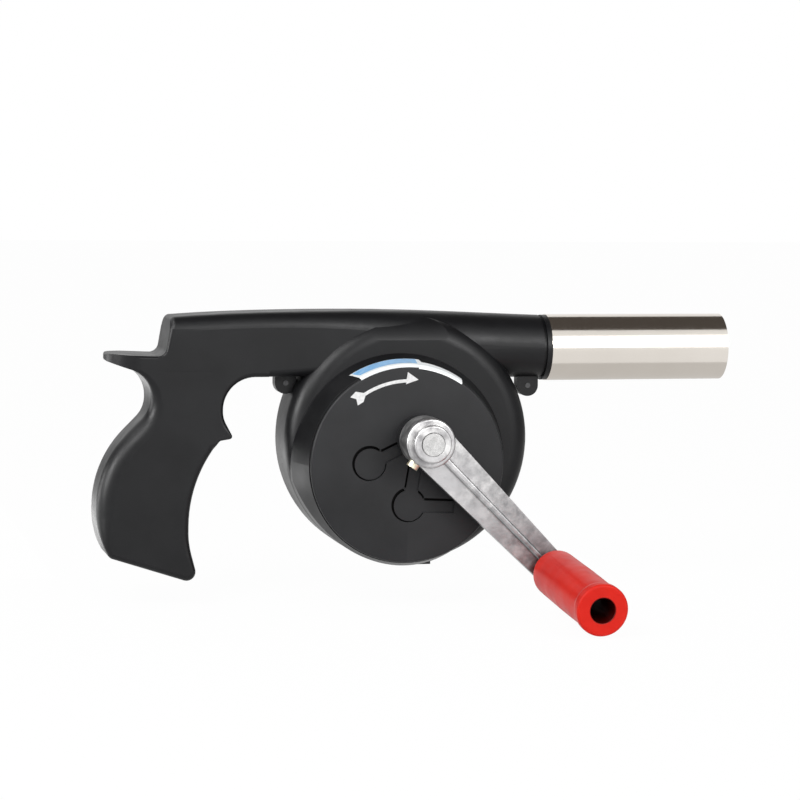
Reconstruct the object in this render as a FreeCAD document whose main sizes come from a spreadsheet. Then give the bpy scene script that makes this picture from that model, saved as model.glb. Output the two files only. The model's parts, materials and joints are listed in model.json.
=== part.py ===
import FreeCAD, Part
import math
import os
import re

from FreeCAD import Placement, Rotation, Vector
import Sketcher

# Hand crank blower.  Millimetres.
# Origin: centre of the air outlet.  +X: along the air tube, out of the outlet.
# +Z: up.  -Y: the side that carries the gear case and the crank.

os.makedirs("parts", exist_ok=True)
doc = FreeCAD.newDocument("hand_crank_fan")

# ----------------------------------------------------------------- sizes
SIZES = [
    # air tube and the collar that it butts against
    ("tube_radius", 15.2), ("tube_wall", 0.8), ("tube_exposed", 84.2),
    ("tube_overlap", 14.0), ("collar_radius", 14.9), ("collar_length", 2.2),
    ("collar_recess", 1.4), ("collar_sleeve", 0.8),
    # barrel and grip, half of the moulding on each side of y = 0; both
    # reaches run back from the fan axis
    ("shell_half_width", 14.8), ("shell_wall", 2.4), ("barrel_radius", 14.2),
    ("barrel_rise", 0.7), ("arch_height", 17.4), ("body_reach", 107.55),
    ("grip_reach", 140.15), ("spur_length", 25.7), ("spur_drop", 2.1),
    ("spur_thickness", 3.3), ("duct_radius", 11.6), ("back_round", 7.5),
    ("front_round", 3.0), ("top_round", 6.5), ("rear_round", 2.5),
    ("spur_round", 1.2),
    # fan chamber, round about the fan axis
    ("fan_behind", 66.95), ("fan_drop", 40.6), ("chamber_radius", 56.0),
    ("chamber_front", 17.4), ("chamber_rear", 20.0), ("shoulder_round", 9.0),
    ("chamber_wall", 2.2), ("roof_height", 17.3), ("roof_round", 17.0),
    ("tab_reach", 2.3), ("tab_width", 17.0),
    # gear case, round about its own centre, behind and below the fan axis
    ("case_offset", 4.75), ("case_lower", 8.7), ("case_radius", 44.4),
    ("case_base_radius", 49.0), ("case_front", 32.0), ("cover_radius", 43.9),
    ("cover_front", 34.3), ("case_bore", 42.0), ("pocket_radius", 7.8),
    ("pocket_depth", 1.1), ("pocket_skin", 0.5), ("channel_width", 6.4),
    ("hub_boss_radius", 10.6), ("hub_boss_front", 38.3),
    # crank, its axis in front of the fan axis and above it
    ("crank_offset", 0.45), ("crank_raise", 3.0), ("crank_shaft_radius", 4.0),
    ("crank_shaft_front", 60.5), ("shaft_end_radius", 5.0), ("shaft_end_length", 2.0),
    ("shaft_end_gap", 0.35), ("crank_bush_radius", 6.5), ("crank_hub_radius", 11.0),
    ("crank_hub_rear", 41.0), ("crank_hub_front", 56.3), ("crank_step_radius", 8.4),
    ("crank_step_front", 60.0), ("arm_length", 81.9), ("arm_angle", 45.1),
    ("arm_front", 50.0), ("arm_thickness", 5.5), ("arm_hub_half", 10.2),
    ("arm_knob_half", 7.4), ("rib_width", 3.4), ("rib_height", 1.9),
    ("rib_round", 1.1), ("set_screw_radius", 2.7), ("set_screw_length", 9.2),
    ("set_screw_front", 50.5), ("set_screw_angle", 236.0),
    # knob
    ("knob_tilt", 4.0), ("knob_radius", 11.3), ("knob_length", 74.0),
    ("knob_waist", 10.8), ("knob_bore", 5.4), ("knob_bore_depth", 45.0),
    ("knob_rim", 4.5), ("knob_neck", 10.6), ("knob_pin_radius", 3.5),
    ("pin_head_radius", 4.9), ("pin_head_length", 3.0),
    ("washer_thickness", 1.2), ("washer_radius", 5.4),
    # gear train
    ("gear_module", 0.8), ("tooth_backlash", 0.12), ("gear_face", 3.1),
    ("gear_gap", 0.6), ("gear_front", 31.4), ("axle_radius", 1.5),
    ("running_gap", 0.05), ("plate_front", 16.2), ("plate_thickness", 1.6),
    ("plate_radius", 41.6), ("plate_seat_radius", 38.0),
    ("drive_teeth", 44), ("first_pinion_teeth", 19),
    ("first_gear_teeth", 46), ("second_pinion_teeth", 19),
    ("second_gear_teeth", 44), ("third_pinion_teeth", 16),
    ("third_gear_teeth", 36), ("fan_pinion_teeth", 16),
    ("first_angle", 205.5),
    # fan
    ("fan_shaft_radius", 2.0), ("impeller_radius", 49.0),
    ("impeller_hub_radius", 7.0), ("impeller_disc", 1.4), ("blade_count", 9),
    ("blade_thickness", 1.4), ("impeller_front", 9.6), ("impeller_rear", 10.5),
    ("bush_radius", 4.6), ("bush_length", 5.0), ("intake_radius", 27.0),
    ("intake_inner", 9.0), ("spoke_width", 3.2), ("spoke_count", 12),
    # screws
    ("lug_radius", 4.9), ("lug_thickness", 3.0), ("screw_radius", 1.2),
    ("screw_head_radius", 2.7), ("screw_head_height", 1.8),
    ("screw_boss_radius", 4.2), ("head_recess", 3.0), ("seat_gap", 0.05),
    ("plate_screw_radius", 1.0), ("plate_screw_grip", 3.4),
    ("plate_head_radius", 1.9), ("plate_head_height", 0.9),
]
ALIASES = [alias for alias, number in SIZES]
sheet = doc.addObject("Spreadsheet::Sheet", "Sizes")
for row, (alias, number) in enumerate(SIZES, start=1):
    sheet.set(f"A{row}", alias)
    sheet.set(f"B{row}", str(number))
    sheet.setAlias(f"B{row}", alias)
doc.recompute()

NODES = []


def size(alias):
    """A driving dimension, read from the sheet."""
    return float(getattr(sheet, alias))


def value(text):
    """Number of an expression: sums and differences of products."""
    total = 0.0
    for term in text.replace("-", "+-").split("+"):
        term = term.strip()
        if not term:
            continue
        product = -1.0 if term.startswith("-") else 1.0
        for word in term.lstrip("-").split("*"):
            word = word.strip()
            product *= size(word) if word in ALIASES else float(word)
        total += product
    return total


def formula(text):
    """The same expression with each alias pointing at the sheet."""
    return re.sub(r"[a-z_]+", lambda word: "Sizes." + word.group(0), text)


def bind(feature, name, text):
    feature.setExpression(name, formula(text))


def origin_plane(body, role):
    for feature in body.Origin.OriginFeatures:
        if feature.Role == role:
            return feature
    raise ValueError(role)


def new_sketch(body, name, role):
    sketch = body.newObject("Sketcher::SketchObject", name)
    sketch.AttachmentSupport = [(origin_plane(body, role), "")]
    sketch.MapMode = "FlatFace"
    return sketch


def place(feature, base, rotation=Rotation()):
    """Put a sub-part where three expressions say."""
    feature.Placement = Placement(Vector(*[value(text) for text in base]), rotation)
    for letter, text in zip("xyz", base):
        bind(feature, "Placement.Base." + letter, text)


def keep(feature, label):
    """Make a feature one of the nodes that are written out."""
    feature.Label = label
    NODES.append(feature)
    return feature


TO_FRONT = Rotation(Vector(0, 0, 1), 180)
TO_REAR = Rotation()
ALONG_TUBE = Rotation(Vector(0, 0, 1), 90)


def lathe(name, profile, base, rotation=TO_REAR):
    """A turned body: (radius, length) corners spun about its own Y axis."""
    body = doc.addObject("PartDesign::Body", name)
    sketch = new_sketch(body, name + "_profile", "XY_Plane")
    corners = [(value(radius), value(length)) for radius, length in profile]
    count = len(corners)
    for i in range(count):
        start = Vector(*corners[i], 0)
        end = Vector(*corners[(i + 1) % count], 0)
        sketch.addGeometry(Part.LineSegment(start, end), False)
    for i in range(count):
        sketch.addConstraint(Sketcher.Constraint("Coincident", i, 2, (i + 1) % count, 1))
    for i, (radius, length) in enumerate(profile):
        for kind, axis, text in (("DistanceX", -2, radius), ("DistanceY", -1, length)):
            if value(text) == 0:
                sketch.addConstraint(Sketcher.Constraint("PointOnObject", i, 1, axis))
                continue
            datum = sketch.addConstraint(Sketcher.Constraint(kind, -1, 1, i, 1, value(text)))
            sketch.setExpression(f"Constraints[{datum}]", formula(text))
    spin = body.newObject("PartDesign::Revolution", name + "_turned")
    spin.Profile = sketch
    spin.ReferenceAxis = (sketch, ["V_Axis"])
    spin.Angle = 360
    place(body, base, rotation)
    return body


def rod(name, radius, start, end, base, rotation=TO_REAR):
    """A plain round bar from start to end along its own Y axis."""
    profile = [("0", start), (radius, start), (radius, end), ("0", end)]
    return lathe(name, profile, base, rotation)


def ring(name, inner, outer, start, end, base, rotation=TO_REAR):
    profile = [(inner, start), (outer, start), (outer, end), (inner, end)]
    return lathe(name, profile, base, rotation)


def rounded_outline(corners):
    """Edges of a closed outline: straight runs joined by tangent arcs."""
    count = len(corners)
    points = [Vector(x, y, 0) for x, y, radius in corners]
    spans = []
    for i in range(count):
        here = points[i]
        back = (points[i - 1] - here).normalize()
        ahead = (points[(i + 1) % count] - here).normalize()
        half = back.getAngle(ahead) / 2
        radius = corners[i][2]
        if radius == 0:
            spans.append((here, None, here))
            continue
        reach = radius / math.tan(half)
        middle = (back + ahead).normalize() * (radius / math.sin(half) - radius)
        spans.append((here + back * reach, here + middle, here + ahead * reach))
    edges = []
    for i in range(count):
        start, middle, end = spans[i]
        if middle is not None:
            edges.append(Part.Arc(start, middle, end))
        edges.append(Part.LineSegment(end, spans[(i + 1) % count][0]))
    return edges


def prism(name, corners, length, base, reverse=False):
    """A padded outline in the XZ plane, its thickness towards -Y."""
    body = doc.addObject("PartDesign::Body", name)
    sketch = new_sketch(body, name + "_outline", "XZ_Plane")
    for edge in rounded_outline(corners):
        sketch.addGeometry(edge, False)
    pad = body.newObject("PartDesign::Pad", name + "_pad")
    pad.Profile = sketch
    pad.Length = value(length)
    bind(pad, "Length", length)
    pad.Reversed = reverse
    place(body, base)
    return body


def join(name, *features):
    feature = doc.addObject("Part::MultiFuse", name)
    feature.Shapes = list(features)
    feature.Refine = True
    return feature


def cut(name, base, *tools):
    feature = doc.addObject("Part::Cut", name)
    feature.Base = base
    feature.Tool = tools[0] if len(tools) == 1 else join(name + "_tools", *tools)
    feature.Refine = True
    return feature


def common(name, first, second):
    feature = doc.addObject("Part::Common", name)
    feature.Base = first
    feature.Tool = second
    feature.Refine = True
    return feature


def round_edges(name, base, choose):
    """Fillet the edges for which choose(edge) gives start and end radii."""
    doc.recompute()
    feature = doc.addObject("Part::Fillet", name)
    feature.Base = base
    chosen = []
    for index, edge in enumerate(base.Shape.Edges, start=1):
        radii = choose(edge)
        if radii:
            chosen.append((index, *radii))
    feature.Edges = chosen
    return feature


def half_space(name, reverse):
    """A box round the tube and its spigot on one side of the parting plane."""
    box = doc.addObject("Part::Box", name)
    box.Length = size("tube_exposed") + size("fan_behind")
    box.Width = 60
    box.Height = 120
    box.Placement.Base = Vector(-box.Length.Value, 0 if reverse else -60, -60)
    return box


# ------------------------------------------------------------ positions
FAN = ("-tube_exposed-fan_behind", "0", "-fan_drop")
CASE = ("-tube_exposed-fan_behind-case_offset", "0", "-fan_drop-case_lower")
CRANK = ("-tube_exposed-fan_behind+crank_offset", "0", "-fan_drop+crank_raise")
MOUTH = ("0", "0", "0")
ROOT = -size("tube_exposed")
MIDDLE = ROOT - size("fan_behind")
REAR = MIDDLE - size("body_reach")
LEFT_LUG = (MIDDLE - 54.25, -15.2)
RIGHT_LUG = (ROOT - 8.4, -17.3)
GRIP_SCREWS = [(REAR - 11.8, -82.0), (REAR + 5.7, -26.0), (REAR + 12.7, 4.0)]
SCREWS = [LEFT_LUG, RIGHT_LUG] + GRIP_SCREWS


def centre(base):
    """The (x, z) point of an axis that runs along Y."""
    return value(base[0]), value(base[2])


def centre_distance(teeth, pinion):
    return size("gear_module") * (size(teeth) + size(pinion)) / 2


def meeting_point(first, first_reach, second, second_reach):
    """Point at given distances from two centres, to the right of first to second."""
    dx = second[0] - first[0]
    dz = second[1] - first[1]
    gap = math.hypot(dx, dz)
    along = (first_reach ** 2 - second_reach ** 2 + gap ** 2) / (2 * gap)
    aside = math.sqrt(first_reach ** 2 - along ** 2)
    x = first[0] + (dx * along + dz * aside) / gap
    z = first[1] + (dz * along - dx * aside) / gap
    return x, z


crank_centre = centre(CRANK)
fan_centre = centre(FAN)
first_reach = centre_distance("drive_teeth", "first_pinion_teeth")
second_reach = centre_distance("first_gear_teeth", "second_pinion_teeth")
third_reach = centre_distance("second_gear_teeth", "third_pinion_teeth")
fan_reach = centre_distance("third_gear_teeth", "fan_pinion_teeth")
first_turn = math.radians(size("first_angle"))
first_centre = (crank_centre[0] + first_reach * math.cos(first_turn),
                crank_centre[1] + first_reach * math.sin(first_turn))
fourth_gap = 27.0
second_centre = meeting_point(first_centre, second_reach, fan_centre, fourth_gap)
third_centre = meeting_point(second_centre, third_reach, fan_centre, fan_reach)


# ---------------------------------------------------------- the moulding
NOTCH_LEAN = 2.6
NOTCH_SLOPE = 0.16
UNDERSIDE = size("barrel_rise") - size("barrel_radius") + 1.9


def handle_corners():
    """Grip, thumb spur and trigger groove: (x, z, rounding)."""
    back = MIDDLE - size("grip_reach")
    tip = REAR - NOTCH_LEAN - size("spur_length")
    spur_top = -size("spur_drop")
    groove_x = REAR + 23.0
    return [
        (tip, spur_top + 1.0, 1.6),
        (REAR - NOTCH_LEAN, spur_top, 4.2),
        (REAR - NOTCH_LEAN + (10 - spur_top) * NOTCH_SLOPE, 10.0, 0),
        (REAR + 43.7, 10.0, 0),
        (REAR + 43.7, UNDERSIDE, 0),
        (groove_x, UNDERSIDE, 14.5),
        (groove_x + 0.3, -29.7, 11.0),
        (groove_x + 4.9, -38.8, 1.3),
        (groove_x - 1.3, -39.8, 2.0),
        (groove_x - 14.8, -59.5, 60.0),
        (groove_x - 14.8, -86.1, 40.0),
        (groove_x - 9.9, -104.4, 4.0),
        (back + 5.55, -91.4, 3.0),
        (back, -81.0, 38.0),
        (back, -50.3, 49.0),
        (back + 23.9, -26.4, 13.0),
        (back + 23.9, -10.8, 13.2),
        (tip, spur_top + 1.0 - size("spur_thickness"), 1.6),
    ]


def handle_round(point):
    """Edge rounding of the grip, which grows from the spur to the palm swell."""
    spur = size("spur_round")
    back = size("back_round")
    front = size("front_round")
    x, z = point.x, point.z
    behind = x < REAR - 1
    if z < -89:
        return 2.4
    if behind and z > -7:
        return spur
    if behind and z > -32:
        return spur + (back - spur) * (-7 - z) / 25
    if behind and z > -72:
        return back
    if behind:
        return back + (2.4 - back) * (-72 - z) / 17
    if z < -43.5:
        return front
    if z < -36.5:
        return 0.9
    return 2.0


def handle_edge(edge, side):
    """Radii for an edge of the outer face, or None for any other edge."""
    first = edge.valueAt(edge.FirstParameter)
    last = edge.valueAt(edge.LastParameter)
    level = side * size("shell_half_width")
    if abs(first.y - level) > 1e-6 or abs(last.y - level) > 1e-6:
        return None
    if min(first.z, last.z) > 9.9 or min(first.x, last.x) > REAR + 42:
        return None
    start = handle_round(first)
    end = handle_round(last)
    if edge.Vertexes[0].Point.distanceToPoint(first) > 1e-6:
        start, end = end, start
    return start, end


def handle(side):
    name = "near_handle" if side < 0 else "far_handle"
    block = prism(name, handle_corners(), "shell_half_width", MOUTH, reverse=side > 0)
    rounded = round_edges(name + "_rounded", block, lambda edge: handle_edge(edge, side))
    return cut(name + "_tongued", rounded, tongue_trim(name))


def tongue_trim(name):
    """What is cut off the spur so that it is a round tongue seen from above."""
    radius = size("shell_half_width")
    middle = REAR - NOTCH_LEAN - size("spur_length") + radius
    block = doc.addObject("Part::Box", name + "_spur_block")
    block.Length = radius + 4
    block.Width = 2 * radius + 4
    block.Height = 16
    block.Placement.Base = Vector(middle - radius - 4, -radius - 2, -14)
    disc = doc.addObject("Part::Cylinder", name + "_spur_disc")
    disc.Radius = radius
    disc.Height = 20
    disc.Placement.Base = Vector(middle, 0, -16)
    return cut(name + "_spur_trim", block, disc)


def barrel_half(side):
    """Round at the outlet, flat sided above the grip: a loft of half sections."""
    radius = size("barrel_radius")
    rise = size("barrel_rise")
    start = -size("tube_exposed") - size("collar_length") - size("collar_recess")
    half = size("shell_half_width")
    top = size("arch_height")
    round_top = size("top_round")
    sections = [
        (start, radius, rise + radius, rise - radius, radius - 0.2, radius - 0.2),
        (MIDDLE + 41.15, half - 0.4, top - 1.6, rise - radius + 0.2, radius - 0.3,
         radius - 0.3),
        (MIDDLE + 16.15, half - 0.2, top - 0.6, rise - radius + 0.7, 12.5, 12.5),
        (MIDDLE - 8.85, half, top, UNDERSIDE - 0.4, round_top + 3.0, 9.0),
        (MIDDLE - 46.85, half, top, UNDERSIDE, round_top + 0.5, 4.0),
        (REAR + 26.7, half, top - 0.8, UNDERSIDE, round_top, 3.0),
        (REAR - 6, half, top - 2.8, UNDERSIDE, round_top, 3.0),
    ]
    name = "near_barrel" if side < 0 else "far_barrel"
    body = doc.addObject("PartDesign::Body", name)
    sketches = []
    for index, (x, wide, high, low, high_round, low_round) in enumerate(sections):
        sketch = new_sketch(body, f"{name}_section_{index + 1}", "YZ_Plane")
        sketch.AttachmentOffset = Placement(Vector(0, 0, x), Rotation())
        corners = [(0, high, 0), (side * wide, high, high_round),
                   (side * wide, low, low_round), (0, low, 0)]
        for edge in rounded_outline(corners):
            sketch.addGeometry(edge, False)
        sketches.append(sketch)
    doc.recompute()
    loft = body.newObject("PartDesign::AdditiveLoft", name + "_loft")
    loft.Profile = sketches[0]
    loft.Sections = [(sketch, [""]) for sketch in sketches[1:]]
    return body


def rear_edge(edge):
    """Radii for the outer edges of the sloping face over the spur."""
    ends = [vertex.Point for vertex in edge.Vertexes]
    middle = edge.valueAt((edge.FirstParameter + edge.LastParameter) / 2)
    for point in (*ends, middle):
        lean = REAR - NOTCH_LEAN + (point.z + size("spur_drop")) * NOTCH_SLOPE
        if abs(point.x - lean) > 1e-3:
            return None
    if abs(middle.y) < 1e-6 or middle.z < UNDERSIDE + 0.1:
        return None
    return size("rear_round"), size("rear_round")


def roof(name, side):
    """Space under the rounded top that the chamber has, on one side."""
    body = doc.addObject("PartDesign::Body", name)
    sketch = new_sketch(body, name + "_section", "YZ_Plane")
    reach = size("chamber_radius") + 5
    sketch.AttachmentOffset = Placement(Vector(0, 0, fan_centre[0] - reach), Rotation())
    depth = size("chamber_front") if side < 0 else size("chamber_rear")
    wide = side * (depth + 0.6)
    high = size("roof_height")
    low = fan_centre[1] - reach
    corners = [(0, high, 0), (wide, high, size("roof_round")), (wide, low, 0), (0, low, 0)]
    for edge in rounded_outline(corners):
        sketch.addGeometry(edge, False)
    pad = body.newObject("PartDesign::Pad", name + "_pad")
    pad.Profile = sketch
    pad.Length = 2 * reach
    return body


def moulding_half(side):
    """Outer form of one shell."""
    word = "near" if side < 0 else "far"
    turn = TO_FRONT if side < 0 else TO_REAR
    far = side > 0
    drop = size("spur_drop")
    top_x = REAR - NOTCH_LEAN + (40 + drop) * NOTCH_SLOPE
    notch = prism(word + "_notch", [(REAR - 50, 40, 0), (top_x, 40, 0),
                                    (REAR - NOTCH_LEAN, -drop, 0), (REAR - 50, -drop, 0)],
                  "2*shell_half_width+4", ("0", "shell_half_width+2", "0"))
    trimmed = round_edges(word + "_barrel_rounded",
                          cut(word + "_barrel_trimmed", barrel_half(side), notch), rear_edge)
    depth = size("chamber_front") if side < 0 else size("chamber_rear")
    drum = lathe_rounded(
        word + "_drum", [(0, 0, 0), (size("chamber_radius"), 0, 0),
                         (size("chamber_radius"), depth, size("shoulder_round")),
                         (0, depth, 0)], FAN, turn)
    chamber = common(word + "_chamber", drum, roof(word + "_roof", side))
    pipe = rod(word + "_pipe", "tube_radius-tube_wall-collar_sleeve-seat_gap",
               "tube_exposed-tube_overlap", "tube_exposed+20", MOUTH, ALONG_TUBE)
    spigot = common(word + "_spigot", pipe, half_space(word + "_spigot_space", far))
    lugs = [lug(word + "_left_lug", LEFT_LUG, far), lug(word + "_right_lug", RIGHT_LUG, far)]
    tab = doc.addObject("Part::Box", word + "_tab")
    tab.Length = size("tab_width")
    tab.Width = size("lug_thickness")
    tab.Height = 8
    tab.Placement.Base = Vector(fan_centre[0] + 5.15 - size("tab_width") / 2,
                                0 if far else -size("lug_thickness"),
                                fan_centre[1] - size("chamber_radius") - size("tab_reach"))
    pieces = [handle(side), trimmed, chamber, spigot, tab, *lugs]
    if side < 0:
        cone = lathe_rounded(
            "case_cone", [(0, 9, 0), (size("case_base_radius"), 9, 0),
                          (size("case_base_radius"), 15, 0),
                          (size("case_radius"), size("case_front"), 0),
                          (0, size("case_front"), 0)], CASE, TO_FRONT)
        limit = rod("case_limit", "chamber_radius-0.2", "5", "case_front+5", FAN, TO_FRONT)
        pieces.append(common("case_form", cone, limit))
    return join(word + "_form", *pieces)


def lug(name, point, far):
    """Half of a screw ear under the barrel, at the parting plane."""
    x, z = point
    radius = size("lug_radius")
    corners = [(x - radius, z - radius, radius - 0.1), (x + radius, z - radius, radius - 0.1),
               (x + radius, z + 6, 0), (x - radius, z + 6, 0)]
    return prism(name, corners, "lug_thickness", MOUTH, reverse=far)


def lathe_rounded(name, corners, base, rotation):
    """A turned form whose (radius, length) corners have their own rounding."""
    body = doc.addObject("PartDesign::Body", name)
    sketch = new_sketch(body, name + "_profile", "XY_Plane")
    for edge in rounded_outline(corners):
        sketch.addGeometry(edge, False)
    spin = body.newObject("PartDesign::Revolution", name + "_turned")
    spin.Profile = sketch
    spin.ReferenceAxis = (sketch, ["V_Axis"])
    spin.Angle = 360
    place(body, base, rotation)
    return body


def hole(name, radius, start, end, point, rotation=TO_REAR):
    """A round cutting tool along Y, from start to end, at an (x, z) point."""
    tool = doc.addObject("Part::Cylinder", name)
    tool.Radius = radius
    tool.Height = end - start
    x, z = point
    tool.Placement = Placement(Vector(x, start, z), Rotation(Vector(1, 0, 0), -90))
    return tool


def grip_cavity():
    """Hollow of the grip, with the screw bosses left standing."""
    corners = [(REAR + 46, 12.4, 0), (REAR + 5.6, 11.4, 0), (REAR + 3.0, 0, 0),
               (REAR - 2.8, -12, 0), (REAR - 3.4, -28, 0), (REAR - 16.6, -43, 6),
               (REAR - 25.8, -57, 10), (REAR - 27.3, -72, 10), (REAR - 22.9, -87.8, 3),
               (REAR + 6.0, -97, 3), (REAR + 3.2, -84, 10), (REAR + 4.7, -62, 10),
               (REAR + 14.7, -45, 3), (REAR + 17.7, -30, 3), (REAR + 18.7, -18, 3),
               (REAR + 29.0, -8.5, 3), (REAR + 46, -8.5, 0)]
    depth = "2*shell_half_width-2*shell_wall"
    hollow = prism("grip_hollow", corners, depth, ("0", "shell_half_width-shell_wall", "0"))
    half = size("shell_half_width")
    bosses = [hole(f"grip_boss_{index + 1}", size("screw_boss_radius"), -half, half, point)
              for index, point in enumerate(GRIP_SCREWS)]
    return cut("grip_cavity", hollow, *bosses)


REAR_BUSH_SEAT = 6.8


def shells():
    wall = size("chamber_wall")
    inner = size("chamber_radius") - wall
    air_near = lathe_rounded("air_near", [(0, 0, 0), (inner, 0, 0), (inner, 12.6, 6.0),
                                          (0, 12.6, 0)], FAN, TO_FRONT)
    rear_depth = size("chamber_rear") - wall
    air_far = lathe_rounded("air_far", [(0, 0, 0), (inner, 0, 0), (inner, rear_depth, 7.5),
                                        (0, rear_depth, 0)], FAN, TO_REAR)
    whole_air = join("air_whole", air_near, air_far)
    under_roof = join("air_roof", roof("air_near_roof", -1), roof("air_far_roof", 1))
    under_roof.Placement.Base = Vector(0, 0, -wall)
    air = common("air_space", whole_air, under_roof)
    duct = rod("duct", "duct_radius", "tube_exposed-tube_overlap-1", "tube_exposed+fan_behind",
               MOUTH, ALONG_TUBE)
    seat = rod("plate_opening", "plate_seat_radius", "plate_front-plate_thickness-3",
               "plate_front-plate_thickness+0.1", CASE, TO_FRONT)
    case_bore = rod("case_bore_form", "case_bore", "plate_front-plate_thickness", "case_front",
                    CASE, TO_FRONT)
    cavity = grip_cavity()
    far_wall = size("chamber_rear")
    bush_start = far_wall - REAR_BUSH_SEAT
    boss = hole("rear_bush_boss", size("bush_radius") + 2, bush_start, far_wall, fan_centre)
    bush_hole = hole("rear_bush_hole", size("bush_radius") + size("seat_gap"),
                     bush_start - 0.2, bush_start + size("bush_length"), fan_centre)
    near_half = moulding_half(-1)
    far_half = moulding_half(1)
    half = size("shell_half_width")
    lug_depth = size("lug_thickness")
    screw = size("screw_radius")
    holes = []
    heads = []
    for index, point in enumerate(SCREWS):
        outer = lug_depth if point in (LEFT_LUG, RIGHT_LUG) else half
        holes.append(hole(f"screw_hole_{index + 1}", screw + size("seat_gap"),
                          -lug_depth - 0.1 if outer == lug_depth else -half + 3,
                          outer + 0.1, point))
        head_seat = half - size("head_recess") if outer != lug_depth else lug_depth
        heads.append(hole(f"head_hole_{index + 1}", size("screw_head_radius") + 0.3,
                          head_seat, outer + 3.0, point))
    plate_rear = size("plate_front") - size("plate_thickness")
    seat_holes = [hole(f"seat_hole_{index + 1}", size("plate_screw_radius") + size("seat_gap"),
                       -plate_rear - 0.2, 0.1 + size("plate_screw_grip") - size("plate_front"),
                       point)
                  for index, point in enumerate(plate_screw_points())]
    near = cut("near_shell", near_half, air, duct, seat, case_bore, cavity, *holes,
               *seat_holes)
    hollow_far = cut("far_hollow", far_half, air, duct, cavity, intake(), *holes, *heads)
    with_boss = join("far_with_boss", hollow_far, boss)
    far = cut("far_shell", with_boss, bush_hole)
    keep(near, "near_shell")
    keep(far, "far_shell")


def intake():
    """Ring of slots in the rear wall, with spokes left between them."""
    outer = size("intake_radius")
    x, z = fan_centre
    far_wall = size("chamber_rear")
    blank = hole("intake_blank", outer, 12.0, far_wall + 1, fan_centre)
    core = hole("intake_core", size("intake_inner"), 11.0, far_wall + 2, fan_centre)
    spokes = []
    for index in range(int(size("spoke_count"))):
        bar = doc.addObject("Part::Box", f"spoke_{index + 1}")
        bar.Length = outer + 2
        bar.Width = far_wall
        bar.Height = size("spoke_width")
        turn = Rotation(Vector(0, 1, 0), 360 * index / size("spoke_count"))
        offset = turn.multVec(Vector(0, 0, -size("spoke_width") / 2))
        bar.Placement = Placement(Vector(x, 10.0, z) + offset, turn)
        spokes.append(bar)
    return cut("intake_slots", blank, core, *spokes)


# ------------------------------------------------------------- gear case
def gear_cover():
    front = size("cover_front")
    disc = lathe_rounded("cover_disc", [(0, size("case_front"), 0),
                                        (size("cover_radius"), size("case_front"), 0),
                                        (size("cover_radius"), front, 1.0),
                                        (0, front, 0)], CASE, TO_FRONT)
    skirt = ring("cover_skirt", "case_bore-2", "case_bore-0.2", "case_front-3",
                 "case_front+0.5", CASE, TO_FRONT)
    depth = size("pocket_depth")
    floor = front - depth
    points = (first_centre, second_centre, third_centre)
    pockets = []
    for index, point in enumerate(points):
        pockets.append(hole(f"pocket_{index + 1}", size("pocket_radius"), -front - 1, -floor,
                            point))
    ends = [crank_centre, crank_centre, (second_centre[0] + 21.0, second_centre[1] - 1.0)]
    starts = [first_centre, second_centre, second_centre]
    for index, (start, end) in enumerate(zip(starts, ends)):
        pockets.append(channel(f"channel_{index + 1}", start, end, floor))
    recessed = cut("cover_recessed", join("cover_blank", disc, skirt), *pockets)
    boss_front = size("hub_boss_front")
    boss = hole("hub_boss", size("hub_boss_radius"), -boss_front, -size("case_front"),
                crank_centre)
    form = join("cover_form", recessed, boss)
    tools = [hole("crank_bush_hole", size("crank_bush_radius") + size("seat_gap"),
                  -boss_front - 1, -20, crank_centre)]
    for index, point in enumerate(points):
        tools.append(hole(f"axle_socket_{index + 1}", size("axle_radius") + 0.02,
                          -floor + size("pocket_skin"), -30, point))
    keep(cut("gear_cover", form, *tools), "gear_cover")


def channel(name, start, end, floor):
    """A straight shallow groove in the cover, from one centre to another."""
    width = size("channel_width")
    length = math.hypot(end[0] - start[0], end[1] - start[1])
    turn = math.degrees(math.atan2(end[1] - start[1], end[0] - start[0]))
    bar = doc.addObject("Part::Box", name)
    bar.Length = length
    bar.Width = size("pocket_depth") + 1
    bar.Height = width
    spin = Rotation(Vector(0, 1, 0), -turn)
    offset = spin.multVec(Vector(0, 0, -width / 2))
    bar.Placement = Placement(Vector(start[0], -floor - bar.Width.Value, start[1]) + offset,
                              spin)
    return bar


def tooth_outline(teeth, flank_points):
    """Corner points of a spur gear with involute flanks, first tooth along +X."""
    module = size("gear_module")
    pitch = module * teeth / 2
    base = pitch * math.cos(math.radians(20))
    tip = pitch + 0.85 * module
    root = pitch - 1.15 * module
    full = math.tan(math.radians(20)) - math.radians(20)
    half_tooth = math.pi / (2 * teeth) - size("tooth_backlash") / (2 * pitch)
    radii = [root + (tip - root) * i / (flank_points - 1) for i in range(flank_points)]
    flank = []
    for radius in radii:
        pressure = math.acos(min(1.0, base / radius))
        flank.append((radius, half_tooth + full - (math.tan(pressure) - pressure)))
    points = []
    for tooth in range(int(teeth)):
        middle = 2 * math.pi * tooth / teeth
        for radius, angle in flank:
            points.append((radius, middle - angle))
        for radius, angle in reversed(flank):
            points.append((radius, middle + angle))
    return points


def toothed_disc(teeth, phase, layer, bore, flank_points):
    """A spur gear in its layer of the train, its axis on Y through the origin."""
    rear = -size("gear_front") + layer * (size("gear_face") + size("gear_gap"))
    corners = [Vector(r * math.cos(a + phase), rear, r * math.sin(a + phase))
               for r, a in tooth_outline(teeth, flank_points)]
    outline = Part.makePolygon(corners + corners[:1])
    circle = Part.Wire(Part.makeCircle(bore, Vector(0, rear, 0), Vector(0, 1, 0)))
    return Part.Face([outline, circle]).extrude(Vector(0, size("gear_face"), 0))


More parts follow.
